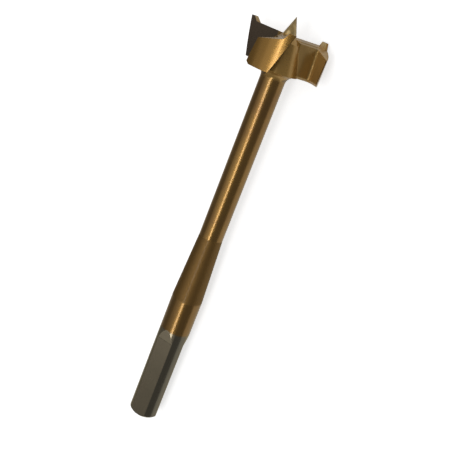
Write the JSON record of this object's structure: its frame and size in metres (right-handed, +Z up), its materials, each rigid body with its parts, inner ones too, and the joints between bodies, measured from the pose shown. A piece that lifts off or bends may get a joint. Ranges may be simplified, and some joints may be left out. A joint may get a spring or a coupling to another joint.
{
  "type": "drill bit",
  "caption": "Three-wing boring bit for wood with centre point, rim spurs, long round shaft and three-flat shank, bronze-gold coated.",
  "frame": {"origin": "middle of the bounding box at the surface the bit lies on", "axes": "+X towards the centre point, along the lying bit; +Z up"},
  "size_m": [0.18, 0.034, 0.0313],
  "materials": {
    "coated_steel": "bronze-gold coating over ground steel, bare dark steel at the chuck flats"
  },
  "bodies": {
    "root": {"drill_bit": "coated_steel"}
  },
  "joints": []
}
